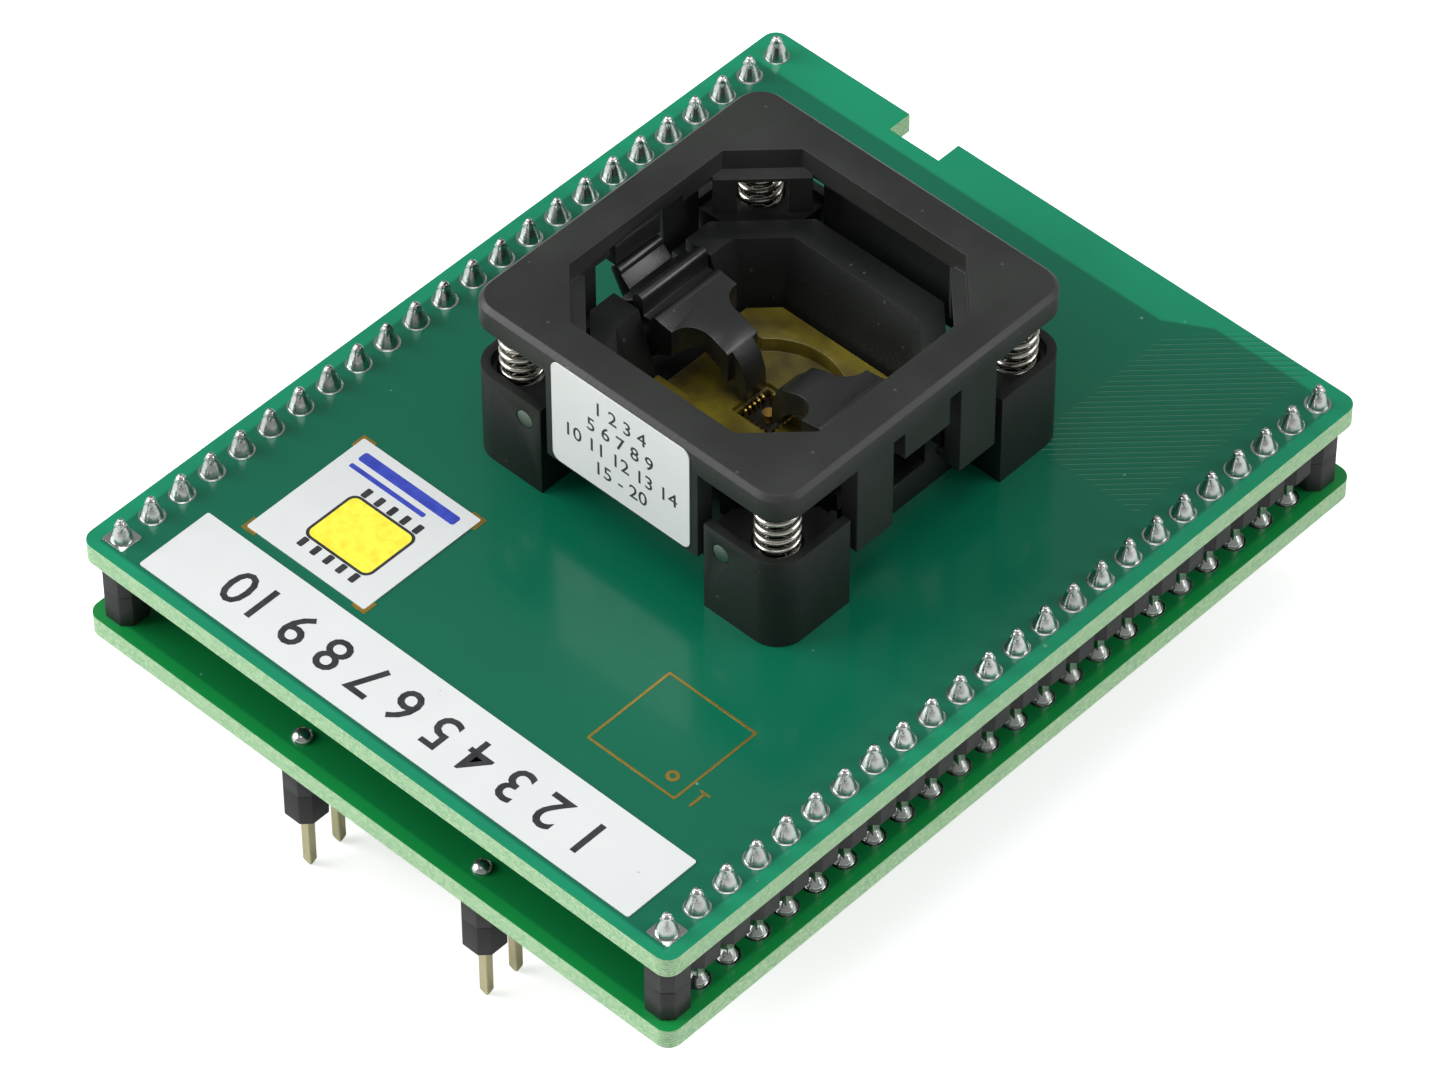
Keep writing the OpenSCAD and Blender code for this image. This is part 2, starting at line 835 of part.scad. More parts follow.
module cover()
    color(black)
        on_socket()
            difference() {
                union() {
                    translate([0, 0, plate_z])
                        soft_plate(socket_w, socket_w, socket_r, plate_t, plate_bevel);
                    // front and back skirts
                    for (side = [-1, 1])
                        translate([0, side * (socket_half - skirt_t / 2), (skirt_foot + plate_z) / 2])
                            cube([2 * skirt_half, skirt_t, plate_z - skirt_foot], center = true);
                    for (side = [0, 180])
                        rotate(side) {
                            cover_legs();
                            translate([cam_in, -cam_half, cam_foot])
                                cube([socket_half - cam_in, 2 * cam_half, plate_z - cam_foot]);
                        }
                    // corner webs
                    translate([0, 0, web_foot])
                        linear_extrude(plate_z + 0.3 - web_foot)
                            at_corners()
                                corner_band(web_in, web_out, 6.2);
                    translate([0, 0, plate_z])
                        linear_extrude(0.3)
                            at_corners()
                                corner_band(web_in, web_out + 1, 6.2);
                }
                translate([0, 0, plate_z - cut_over])
                    linear_extrude(plate_t + 2 * cut_over)
                        difference() {
                            octagon(opening_half, opening_cut);
                            at_corners()
                                corner_band(web_in, web_out + 1, 6.2);
                        }
                translate([0, 0, plate_z + 0.3])
                    linear_extrude(plate_t)
                        octagon(opening_half, opening_cut);
                // slots in the webs, in front of the springs
                translate([0, 0, web_foot - cut_over])
                    linear_extrude(plate_z + cut_over - web_foot)
                        at_corners()
                            corner_band(web_in - 1, web_out + 1, web_slot);
                // room for the open latches' crests
                translate([0, 0, plate_z])
                    cube([2 * crest_room, 2 * window_half, 2 * crest_room_h], center = true);
            }

// two snap legs with hooks on one side of the cover
module cover_legs()
    for (end = [-1, 1])
        translate([socket_half, end * (leg_in + leg_out) / 2, 0])
            translate([0, (leg_out - leg_in) / 2, 0])
                rotate([90, 0, 0])
                    linear_extrude(leg_out - leg_in)
                        polygon([[0, plate_z], [0, skirt_foot], [-skirt_t, skirt_foot],
                                 [-skirt_t - hook_reach, skirt_foot + 0.3],
                                 [-skirt_t - hook_reach, skirt_foot + hook_h],
                                 [-skirt_t, skirt_foot + hook_h], [-skirt_t, plate_z]]);

// ---------------------------------------------------------------- assembly

upper_board();
lower_board();
board_strip_left();
board_strip_right();
end_spacers();
board_pins_left();
board_pins_right();
upper_solder();
lower_solder();
plug_strip_left();
plug_strip_right();
plug_riser_left();
plug_riser_right();
plug_pins_left();
plug_pins_right();
plug_solder();
strip_label();
square_label();
skirt_label();
socket_base();
contact_housing();
contacts_left();
contacts_right();
contacts_front();
contacts_back();
ground_contact();
contact_solder();
nest();
latch_left();
latch_right();
dowel_left();
dowel_right();
spring_front_left();
spring_front_right();
spring_back_left();
spring_back_right();
cover();
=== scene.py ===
"""Looks of the programmer adapter with the open-top test socket. Metres, in the CAD frame."""
import math

import bmesh
import bpy
from mathutils import Matrix, Vector


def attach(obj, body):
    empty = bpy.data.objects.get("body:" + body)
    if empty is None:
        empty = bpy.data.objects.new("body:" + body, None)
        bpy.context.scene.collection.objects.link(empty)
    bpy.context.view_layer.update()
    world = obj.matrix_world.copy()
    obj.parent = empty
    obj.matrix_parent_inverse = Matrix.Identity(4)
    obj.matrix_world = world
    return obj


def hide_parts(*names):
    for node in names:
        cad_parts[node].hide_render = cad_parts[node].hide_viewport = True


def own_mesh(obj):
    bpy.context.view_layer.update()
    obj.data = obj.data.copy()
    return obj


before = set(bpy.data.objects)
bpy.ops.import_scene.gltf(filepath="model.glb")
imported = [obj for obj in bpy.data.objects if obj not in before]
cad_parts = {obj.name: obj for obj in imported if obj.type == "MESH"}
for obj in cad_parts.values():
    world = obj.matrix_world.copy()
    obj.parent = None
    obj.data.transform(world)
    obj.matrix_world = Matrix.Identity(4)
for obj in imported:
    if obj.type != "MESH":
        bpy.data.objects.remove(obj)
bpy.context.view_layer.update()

MM = 0.001
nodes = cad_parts


def box_of(node):
    """The low and the high corner of a CAD node's box, to the micrometre."""
    spots = [vertex.co for vertex in nodes[node].data.vertices]
    return [[round(pick(spot[axis] for spot in spots), 6) for axis in range(3)] for pick in (min, max)]


def middle_of(node):
    """The middle of a CAD node's box."""
    return [round((low + high) / 2, 6) for low, high in zip(*box_of(node))]


DECK = box_of("upper_board")[1][2]                      # top of the upper board
UNDERSIDE, SHELF = (corner[2] for corner in box_of("lower_board"))
SOCKET_Y = middle_of("socket_base")[1]                  # middle of the socket
PITCH = 2.54 * MM
PINS = 24
BOARD_ROW = middle_of("board_pins_right")[0]            # rows of pins that join the boards
PLUG_ROW = middle_of("plug_pins_right")[0]              # rows of the plug
ROW_END = (PINS - 1) / 2 * PITCH                        # middle of a row's end pin
COIL_SPOT = middle_of("spring_back_right")[0]           # springs, from the socket's middle
COIL_FOOT = DECK + 2.6 * MM                             # where a spring stands
COIL_TALL = 8.4 * MM
PRINT = 0.02 * MM                                       # thickness of plated and printed marks


# ------------------------------------------------------------------ node helpers

def linear(r, g, b):
    """A colour given as 0..255 display values."""
    def one(v):
        v /= 255
        return v / 12.92 if v <= 0.04045 else ((v + 0.055) / 1.055) ** 2.4
    return (one(r), one(g), one(b), 1)


class Weave:
    """Adds nodes to a tree and links them."""

    def __init__(self, tree):
        self.tree = tree

    def add(self, kind, values=None, **settings):
        made = self.tree.nodes.new(kind)
        for key, value in settings.items():
            setattr(made, key, value)
        for key, value in (values or {}).items():
            if isinstance(value, bpy.types.NodeSocket):
                self.tree.links.new(value, made.inputs[key])
            else:
                made.inputs[key].default_value = value
        return made

    def math(self, operation, a, b=0.0):
        return self.add("ShaderNodeMath", {0: a, 1: b}, operation=operation).outputs[0]

    def mix(self, share, a, b):
        made = self.add("ShaderNodeMix", data_type="RGBA")
        for socket, value in ((made.inputs["Factor"], share), (made.inputs[6], a), (made.inputs[7], b)):
            if isinstance(value, bpy.types.NodeSocket):
                self.tree.links.new(value, socket)
            else:
                socket.default_value = value
        return made.outputs[2]

    def spread(self, value, low, high, to_low, to_high):
        return self.add("ShaderNodeMapRange",
                        {0: value, 1: low, 2: high, 3: to_low, 4: to_high}).outputs[0]

    def share_to(self, value, limit):
        """0 at 0, 1 from the limit on."""
        return self.math("MINIMUM", self.math("DIVIDE", value, limit), 1.0)

    def link(self, a, b):
        self.tree.links.new(a, b)


def effect(name, inputs, outputs):
    """A shader node group with named sockets: (group, weave, inputs, outputs)."""
    tree = bpy.data.node_groups.new(name, "ShaderNodeTree")
    for label, value in inputs.items():
        made = tree.interface.new_socket(label, in_out="INPUT", socket_type="NodeSocketFloat")
        made.default_value = value
    for label in outputs:
        tree.interface.new_socket(label, in_out="OUTPUT", socket_type="NodeSocketFloat")
    w = Weave(tree)
    return tree, w, w.add("NodeGroupInput").outputs, w.add("NodeGroupOutput").inputs


def grain_effect():
    """Fine bumps, and a slow mask of wear or cloudiness."""
    tree, w, given, out = effect("fine_grain", {"Scale": 3000.0, "Cloud Scale": 200.0}, ["Height", "Cloud"])
    place = w.add("ShaderNodeTexCoord").outputs["Object"]
    fine = w.add("ShaderNodeTexNoise", {"Vector": place, "Scale": given["Scale"], "Detail": 3.0,
                                        "Roughness": 0.6})
    slow = w.add("ShaderNodeTexNoise", {"Vector": place, "Scale": given["Cloud Scale"], "Detail": 4.0})
    w.link(fine.outputs[0], out["Height"])
    w.link(w.spread(slow.outputs[0], 0.3, 0.7, 0.0, 1.0), out["Cloud"])
    return tree


def dust_effect():
    """Sparse specks: a small disc in some of the cells."""
    tree, w, given, out = effect("dust", {"Scale": 900.0, "Size": 0.12, "Share": 0.25}, ["Mask"])
    place = w.add("ShaderNodeTexCoord").outputs["Object"]
    cell = w.add("ShaderNodeTexVoronoi", {"Vector": place, "Scale": given["Scale"]})
    spot = w.math("LESS_THAN", cell.outputs["Distance"], given["Size"])
    pick = w.add("ShaderNodeSeparateColor", {0: cell.outputs["Color"]}).outputs[0]
    w.link(w.math("MULTIPLY", spot, w.math("LESS_THAN", pick, given["Share"])), out["Mask"])
    return tree


def level_effect():
    """1 on faces that look up or down, 0 on a board's cut edges."""
    tree, w, given, out = effect("level_faces", {"Limit": 0.7}, ["Mask"])
    normal = w.add("ShaderNodeNewGeometry").outputs["Normal"]
    upward = w.add("ShaderNodeSeparateXYZ", {0: normal}).outputs[2]
    w.link(w.math("GREATER_THAN", w.math("ABSOLUTE", upward), given["Limit"]), out["Mask"])
    return tree


GRAIN = grain_effect()
DUST = dust_effect()
LEVEL = level_effect()


def finish(name, metal=0.0, rough=0.5, **sockets):
    """A new material: (material, weave, its shader)."""
    made = bpy.data.materials.new(name)
    made.use_nodes = True
    w = Weave(made.node_tree)
    shader = made.node_tree.nodes["Principled BSDF"]
    shader.inputs["Metallic"].default_value = metal
    shader.inputs["Roughness"].default_value = rough
    for key, value in sockets.items():
        shader.inputs[key.replace("_", " ")].default_value = value
    return made, w, shader


def grained(w, shader, height=0.02, scale=3000.0, cloud=200.0, rough=(0.4, 0.5)):
    """Fine bumps and a cloudy roughness. Gives back the cloud mask."""
    g = w.add("ShaderNodeGroup", node_tree=GRAIN)
    g.inputs["Scale"].default_value = scale
    g.inputs["Cloud Scale"].default_value = cloud
    bump = w.add("ShaderNodeBump", {"Strength": 1.0, "Distance": height * MM,
                                    "Height": g.outputs["Height"]})
    w.link(bump.outputs[0], shader.inputs["Normal"])
    w.link(w.spread(g.outputs["Cloud"], 0.0, 1.0, *rough), shader.inputs["Roughness"])
    return g.outputs["Cloud"]


def dusted(w, colour, scale=900.0, size=0.1, share=0.2, tone=(150, 152, 148), amount=0.5):
    """The colour with specks of another tone."""
    d = w.add("ShaderNodeGroup", node_tree=DUST)
    for key, value in (("Scale", scale), ("Size", size), ("Share", share)):
        d.inputs[key].default_value = value
    return w.mix(w.math("MULTIPLY", d.outputs["Mask"], amount), colour, linear(*tone))


# ------------------------------------------------------------------ finishes

def shade(colour, factor):
    """A linear colour made darker or lighter."""
    return tuple(v * factor for v in colour[:3]) + (1,)


def black_plastic(name, tone, rough, height, cloud=150.0, shine=0.38):
    made, w, shader = finish(name, Specular_IOR_Level=shine)
    mask = grained(w, shader, height, 4200.0, cloud, rough)
    mottled = w.mix(mask, shade(linear(*tone), 0.8), shade(linear(*tone), 1.25))
    w.link(dusted(w, mottled, amount=0.12), shader.inputs["Base Color"])
    return made


def metal(name, tone, rough, height=0.01, scale=900.0, spots=(90, 84, 70), spotted=0.25):
    made, w, shader = finish(name, metal=1.0)
    mask = grained(w, shader, height, scale, scale / 3, rough)
    stained = w.mix(w.math("MULTIPLY", mask, spotted), linear(*tone), linear(*spots))
    w.link(stained, shader.inputs["Base Color"])
    return made


TRACK_PITCH = 0.62          # the board's slanting conductors, all in mm
TRACK_X = (12.0, 20.8)      # where they begin and end
TRACK_Y = 14.5
TRACK_SLANT = -15.25        # x - y at their last one
BLUR = 0.12                 # softness of the copper plane's edges
PLANE_STEP = 3              # length of the slanting step in the plane's far edge


def board_finish(name, bare, copper, reach, traced):
    """Solder mask over laminate: lighter where there is no copper below, and pale on the cut edges.

    reach is the copper plane in mm: half width, near edge, far edge, where its far edge steps, and
    the far edge beyond that step. traced is 1 where the slanting conductors show."""
    made, w, shader = finish(name, rough=0.2, Specular_IOR_Level=0.35, Coat_Roughness=0.08)
    place = w.add("ShaderNodeSeparateXYZ", {0: w.add("ShaderNodeTexCoord").outputs["Object"]}).outputs
    x, y, z = (w.math("MULTIPLY", v, 1000.0) for v in place[:3])
    g = w.add("ShaderNodeGroup", node_tree=GRAIN)
    g.inputs["Scale"].default_value = 2600.0
    g.inputs["Cloud Scale"].default_value = 90.0
    half_x, low_y, high_y, step_x, step_y = reach
    stepped = w.spread(x, step_x, step_x + PLANE_STEP, 0.0, 1.0)
    far = w.math("ADD", w.math("MULTIPLY", stepped, step_y - high_y), high_y)

    def inside(value, limit):
        return w.spread(w.math("SUBTRACT", limit, value), -BLUR, BLUR, 0.0, 1.0)

    plane = w.math("MULTIPLY", inside(w.math("ABSOLUTE", x), half_x), inside(y, far))
    plane = w.math("MULTIPLY", plane, inside(w.math("MULTIPLY", y, -1.0), -low_y))
    # conductors that fan out from the socket on the slant
    slant = w.math("SUBTRACT", x, y)
    stripe = w.math("SINE", w.math("MULTIPLY", slant, 2 * math.pi / TRACK_PITCH))
    stripe = w.spread(stripe, 0.1, 0.5, 0.0, 1.0)
    fan = w.math("MULTIPLY", w.spread(x, TRACK_X[0] - 0.5, TRACK_X[0] + 0.5, 0.0, 1.0),
                 w.spread(y, TRACK_Y - 0.5, TRACK_Y + 0.5, 0.0, 1.0))
    fan = w.math("MULTIPLY", fan, w.spread(x, TRACK_X[1] - 0.2, TRACK_X[1] + 0.2, 1.0, 0.0))
    fan = w.math("MULTIPLY", fan, w.spread(slant, TRACK_SLANT - 0.25, TRACK_SLANT + 0.25, 0.0, 1.0))
    track = w.math("MULTIPLY", w.math("MULTIPLY", stripe, fan), traced)
    green = w.mix(plane, linear(*bare), linear(*copper))
    deep = shade(linear(*copper), 0.72)
    green = w.mix(w.math("MULTIPLY", track, 0.28), green, deep)
    green = w.mix(w.math("MULTIPLY", g.outputs["Cloud"], 0.25), green, deep)
    green = dusted(w, green, 500.0, 0.06, 0.2, (150, 190, 170), 0.35)
    # cut edges: pale laminate with layers of glass cloth
    glass = w.math("SINE", w.math("MULTIPLY", z, 2 * math.pi / 0.22))
    fibre = w.add("ShaderNodeTexNoise", {"Vector": w.add("ShaderNodeTexCoord").outputs["Object"],
                                         "Scale": 5200.0, "Detail": 4.0}).outputs[0]
    streaks = w.spread(w.math("ADD", w.math("MULTIPLY", glass, 0.12), fibre), 0.3, 0.8, 0.0, 1.0)
    core = w.mix(streaks, linear(130, 180, 136), linear(192, 218, 176))
    flat = w.add("ShaderNodeGroup", node_tree=LEVEL).outputs["Mask"]
    w.link(w.mix(flat, core, green), shader.inputs["Base Color"])
    w.link(w.spread(flat, 0.0, 1.0, 0.62, 0.2), shader.inputs["Roughness"])
    w.link(w.math("MULTIPLY", flat, 0.2), shader.inputs["Coat Weight"])
    height = w.math("ADD", w.math("MULTIPLY", track, 0.6), w.math("MULTIPLY", g.outputs["Height"], 0.12))
    height = w.math("ADD", height, w.math("MULTIPLY", plane, 0.6))
    rough_edge = w.math("MULTIPLY", w.math("SUBTRACT", 1.0, flat), fibre)
    height = w.math("ADD", height, w.math("MULTIPLY", rough_edge, 1.6))
    bump = w.add("ShaderNodeBump", {"Strength": 1.0, "Distance": 0.03 * MM, "Height": height})
    w.link(bump.outputs[0], shader.inputs["Normal"])
    return made


def paper_finish(name, tone):
    made, w, shader = finish(name)
    mask = grained(w, shader, 0.004, 5200.0, 260.0, (0.38, 0.5))
    cloudy = w.mix(mask, linear(*tone), shade(linear(*tone), 0.95))
    w.link(dusted(w, cloudy, 600.0, 0.05, 0.15, (120, 120, 118), 0.4), shader.inputs["Base Color"])
    return made


def ink_finish(name, tone):
    made, w, shader = finish(name)
    mask = grained(w, shader, 0.003, 5200.0, 1500.0, (0.4, 0.55))
    thin = tuple(min(1, v * 1.3 + 0.01) for v in linear(*tone)[:3]) + (1,)
    w.link(w.mix(mask, linear(*tone), thin), shader.inputs["Base Color"])
    return made


def amber_finish():
    made, w, shader = finish("amber_moulding", Transmission_Weight=0.55, IOR=1.5)
    mask = grained(w, shader, 0.02, 1500.0, 420.0, (0.22, 0.42))
    w.link(w.mix(mask, linear(182, 166, 60), linear(106, 90, 32)), shader.inputs["Base Color"])
    return made


UPPER_MASK = board_finish("upper_solder_mask", (18, 138, 98), (10, 100, 74),
                          (23.7, -30.3, 28.05, 11, 29.8), 1.0)
LOWER_MASK = board_finish("lower_solder_mask", (26, 146, 70), (18, 120, 60),
                          (23.9, -30.2, 30.1, 11, 30.1), 0.0)
COVER_BLACK = black_plastic("cover_black", (40, 42, 40), (0.42, 0.55), 0.018)
BASE_BLACK = black_plastic("base_black", (24, 27, 25), (0.4, 0.52), 0.018)
LATCH_BLACK = black_plastic("latch_black", (30, 31, 31), (0.28, 0.38), 0.01, shine=0.7)
STRIP_BLACK = black_plastic("strip_black", (38, 38, 39), (0.4, 0.6), 0.012, 400.0)
TIN = metal("tinned_pin", (205, 208, 205), (0.2, 0.36))
PLUG_GOLD = metal("plug_pin_gold", (222, 214, 172), (0.24, 0.4), spots=(150, 130, 80))
SOLDER = metal("bright_solder", (212, 216, 214), (0.14, 0.3), 0.02, 1100.0, (112, 110, 100), 0.35)
CONTACT_GOLD = metal("contact_gold", (226, 186, 96), (0.2, 0.35), spots=(150, 104, 40))
SPRING_WIRE = metal("spring_wire", (206, 204, 196), (0.16, 0.3), 0.004, 2500.0, (120, 108, 86), 0.3)
DOWEL_STEEL = metal("dowel_steel", (128, 142, 132), (0.36, 0.5), 0.01, 2500.0, (84, 90, 84), 0.4)
MARK_GOLD = metal("gold_plated_mark", (206, 172, 84), (0.3, 0.45), 0.006, 2600.0, (150, 116, 46), 0.3)
PAPER = paper_finish("label_paper", (218, 221, 221))
INK_BLACK = ink_finish("black_print", (38, 38, 42))
INK_BLUE = ink_finish("blue_print", (44, 62, 168))
INK_YELLOW = ink_finish("yellow_print", (238, 222, 60))
AMBER = amber_finish()


# ------------------------------------------------------------------ mesh helpers

def keep_mesh(name, mesh, material, body="adapter", replaced=()):
    """Puts a finished mesh in the scene as a piece of the object."""
    obj = bpy.data.objects.new(name, mesh)
    bpy.context.scene.collection.objects.link(obj)
    mesh.materials.clear()
    mesh.materials.append(material)
    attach(obj, body)
    if replaced:
        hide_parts(*replaced)
    return obj


def plain_mesh(obj):
    """The object's mesh with its modifiers applied."""
    bpy.context.view_layer.update()
    view = bpy.context.evaluated_depsgraph_get()
    mesh = bpy.data.meshes.new_from_object(obj.evaluated_get(view), depsgraph=view)
    bpy.data.objects.remove(obj)
    return mesh


def softened(node, name, material, edge, body="adapter", angle=32, segments=2):
    """A merged copy of a CAD node with its edges rounded, which stands for it."""
    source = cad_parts[node].data
    bm = bmesh.new()
    bm.from_mesh(source)
    bmesh.ops.remove_doubles(bm, verts=bm.verts, dist=2e-6)
    bmesh.ops.dissolve_limit(bm, angle_limit=math.radians(0.5), verts=bm.verts, edges=bm.edges)
    mesh = bpy.data.meshes.new(name)
    bm.to_mesh(mesh)
    bm.free()
    obj = bpy.data.objects.new(name, mesh)
    bpy.context.scene.collection.objects.link(obj)
    bevel = obj.modifiers.new("edges", "BEVEL")
    bevel.width = edge * MM
    bevel.segments = segments
    bevel.limit_method = "ANGLE"
    bevel.angle_limit = math.radians(angle)
    bevel.use_clamp_overlap = True
    mesh = plain_mesh(obj)
    mesh.name = name
    mesh.shade_smooth()
    mesh.set_sharp_from_angle(angle=math.radians(angle))
    return keep_mesh(name, mesh, material, body, (node,))


def prism(outline, low, high, holes=()):
    """A mesh that fills an outline of (x, y) points in mm between two heights in metres."""
    curve = bpy.data.curves.new("outline", "CURVE")
    curve.dimensions = "2D"
    curve.fill_mode = "BOTH"
    for loop in (outline, *holes):
        spline = curve.splines.new("POLY")
        spline.points.add(len(loop) - 1)
        for point, (x, y) in zip(spline.points, loop):
            point.co = (x * MM, y * MM, 0, 1)
        spline.use_cyclic_u = True
    curve.extrude = (high - low) / 2
    obj = bpy.data.objects.new("outline", curve)
    bpy.context.scene.collection.objects.link(obj)
    mesh = plain_mesh(obj)
    mesh.transform(Matrix.Translation((0, 0, (low + high) / 2)))
    bm = bmesh.new()
    bm.from_mesh(mesh)
    bmesh.ops.remove_doubles(bm, verts=bm.verts, dist=1e-7)
    bmesh.ops.recalc_face_normals(bm, faces=bm.faces)
    bm.to_mesh(mesh)
    bm.free()
    return mesh


def rounded(w, l, r, cx=0.0, cy=0.0, steps=6):
    """Corner-rounded rectangle in mm."""
    points = []
    for quarter, (sx, sy) in enumerate(((1, 1), (-1, 1), (-1, -1), (1, -1))):
        for step in range(steps + 1):
            a = math.radians(90 * quarter + 90 * step / steps)
            points.append((cx + sx * (w / 2 - r) + r * math.cos(a),
                           cy + sy * (l / 2 - r) + r * math.sin(a)))
    return points


def ring(cx, cy, r, steps=32):
    """Circle in mm."""
    return [(cx + r * math.cos(2 * math.pi * k / steps), cy + r * math.sin(2 * math.pi * k / steps))
            for k in range(steps)]


def joined(meshes):
    """Several meshes as one."""
    bm = bmesh.new()
    for mesh in meshes:
        bm.from_mesh(mesh)
    whole = bpy.data.meshes.new("joined")
    bm.to_mesh(whole)
    bm.free()
    return whole


def lettering(words, size, thick, bold=0.0):
    """Text centred on the origin, facing +Z. Size, thickness and extra boldness in mm."""
    curve = bpy.data.curves.new("lettering", "FONT")
    curve.body = words
    curve.size = size * MM
    curve.align_x = "CENTER"
    curve.align_y = "CENTER"
    curve.extrude = thick / 2 * MM
    curve.offset = bold * MM
    curve.resolution_u = 3
    obj = bpy.data.objects.new("lettering", curve)
    bpy.context.scene.collection.objects.link(obj)
    return plain_mesh(obj)


def lathe(profile, sides=16):
    """Mesh turned from (radius, height) points in mm."""
    bm = bmesh.new()
    rows = []
    for r, h in profile:
        if r == 0:
            rows.append([bm.verts.new((0, 0, h * MM))])
        else:
            rows.append([bm.verts.new((r * MM * math.cos(2 * math.pi * k / sides),
                                       r * MM * math.sin(2 * math.pi * k / sides), h * MM))
                         for k in range(sides)])
    for low, high in zip(rows, rows[1:]):
        for k in range(sides):
            n = (k + 1) % sides
            corners = [low[k % len(low)], low[n % len(low)], high[n % len(high)], high[k % len(high)]]
            corners = list(dict.fromkeys(corners))
            if len(corners) > 2:
                bm.faces.new(corners)
    bmesh.ops.recalc_face_normals(bm, faces=bm.faces)
    mesh = bpy.data.meshes.new("lathe")
    bm.to_mesh(mesh)
    bm.free()
    mesh.shade_smooth()
    return mesh


# ------------------------------------------------------------------ geometry node trees

def tree_with(name, inputs):
    """A geometry node tree: (tree, weave, inputs, output socket). Inputs are name: (socket type, value)."""
    tree = bpy.data.node_groups.new(name, "GeometryNodeTree")
    for label, (kind, value) in inputs.items():
        made = tree.interface.new_socket(label, in_out="INPUT", socket_type=kind)
        if value is not None:
            made.default_value = value
    tree.interface.new_socket("Geometry", in_out="OUTPUT", socket_type="NodeSocketGeometry")
    w = Weave(tree)
    return tree, w, w.add("NodeGroupInput").outputs, w.add("NodeGroupOutput").inputs[0]


def grown(tree, values):
    """The plain mesh that a tree makes with these input values."""
    obj = bpy.data.objects.new(tree.name, bpy.data.meshes.new(tree.name))
    bpy.context.scene.collection.objects.link(obj)
    modifier = obj.modifiers.new("grow", "NODES")
    modifier.node_group = tree
    known = {item.name: item.identifier for item in tree.interface.items_tree if item.in_out == "INPUT"}
    for key, value in values.items():
        modifier[known[key]] = value
    return plain_mesh(obj)


def pin_row_tree():
    """One form repeated at every pin of two rows, each turned and sized a little differently."""
    tree, w, gi, out = tree_with("pin_rows", {
        "Form": ("NodeSocketObject", None), "Finish": ("NodeSocketMaterial", None),
        "Count": ("NodeSocketInt", PINS), "Pitch": ("NodeSocketFloat", PITCH),
        "Row": ("NodeSocketFloat", BOARD_ROW), "Level": ("NodeSocketFloat", DECK),
        "Unevenness": ("NodeSocketFloat", 0.08), "Seed": ("NodeSocketInt", 1)})
    half = w.math("MULTIPLY", w.math("MULTIPLY", w.math("SUBTRACT", gi["Count"], 1.0), gi["Pitch"]), -0.5)
    join = w.add("GeometryNodeJoinGeometry")
    for side in (-1.0, 1.0):
        first = w.add("ShaderNodeCombineXYZ",
                      {0: w.math("MULTIPLY", gi["Row"], side), 1: half, 2: gi["Level"]})
        step = w.add("ShaderNodeCombineXYZ", {1: gi["Pitch"]})
        line = w.add("GeometryNodeMeshLine", {"Count": gi["Count"], "Start Location": first.outputs[0],
                                              "Offset": step.outputs[0]}, mode="OFFSET")
        w.link(line.outputs[0], join.inputs[0])
    form = w.add("GeometryNodeObjectInfo", {"Object": gi["Form"]})
    turn = w.add("FunctionNodeRandomValue", {"Seed": gi["Seed"]}, data_type="FLOAT")
    turn.inputs[3].default_value = 2 * math.pi
    about = w.add("ShaderNodeCombineXYZ", {2: turn.outputs[1]})
    low = w.math("SUBTRACT", 1.0, gi["Unevenness"])
    size = w.add("FunctionNodeRandomValue", {"Seed": w.math("ADD", gi["Seed"], 7.0)}, data_type="FLOAT")
    w.link(low, size.inputs[2])
    size.inputs[3].default_value = 1.0
    placed = w.add("GeometryNodeInstanceOnPoints", {
        "Points": join.outputs[0], "Instance": form.outputs["Geometry"],
        "Rotation": about.outputs[0], "Scale": size.outputs[1]})
    real = w.add("GeometryNodeRealizeInstances", {0: placed.outputs[0]})
    made = w.add("GeometryNodeSetMaterial", {"Geometry": real.outputs[0], "Material": gi["Finish"]})
    w.link(made.outputs[0], out)
    return tree


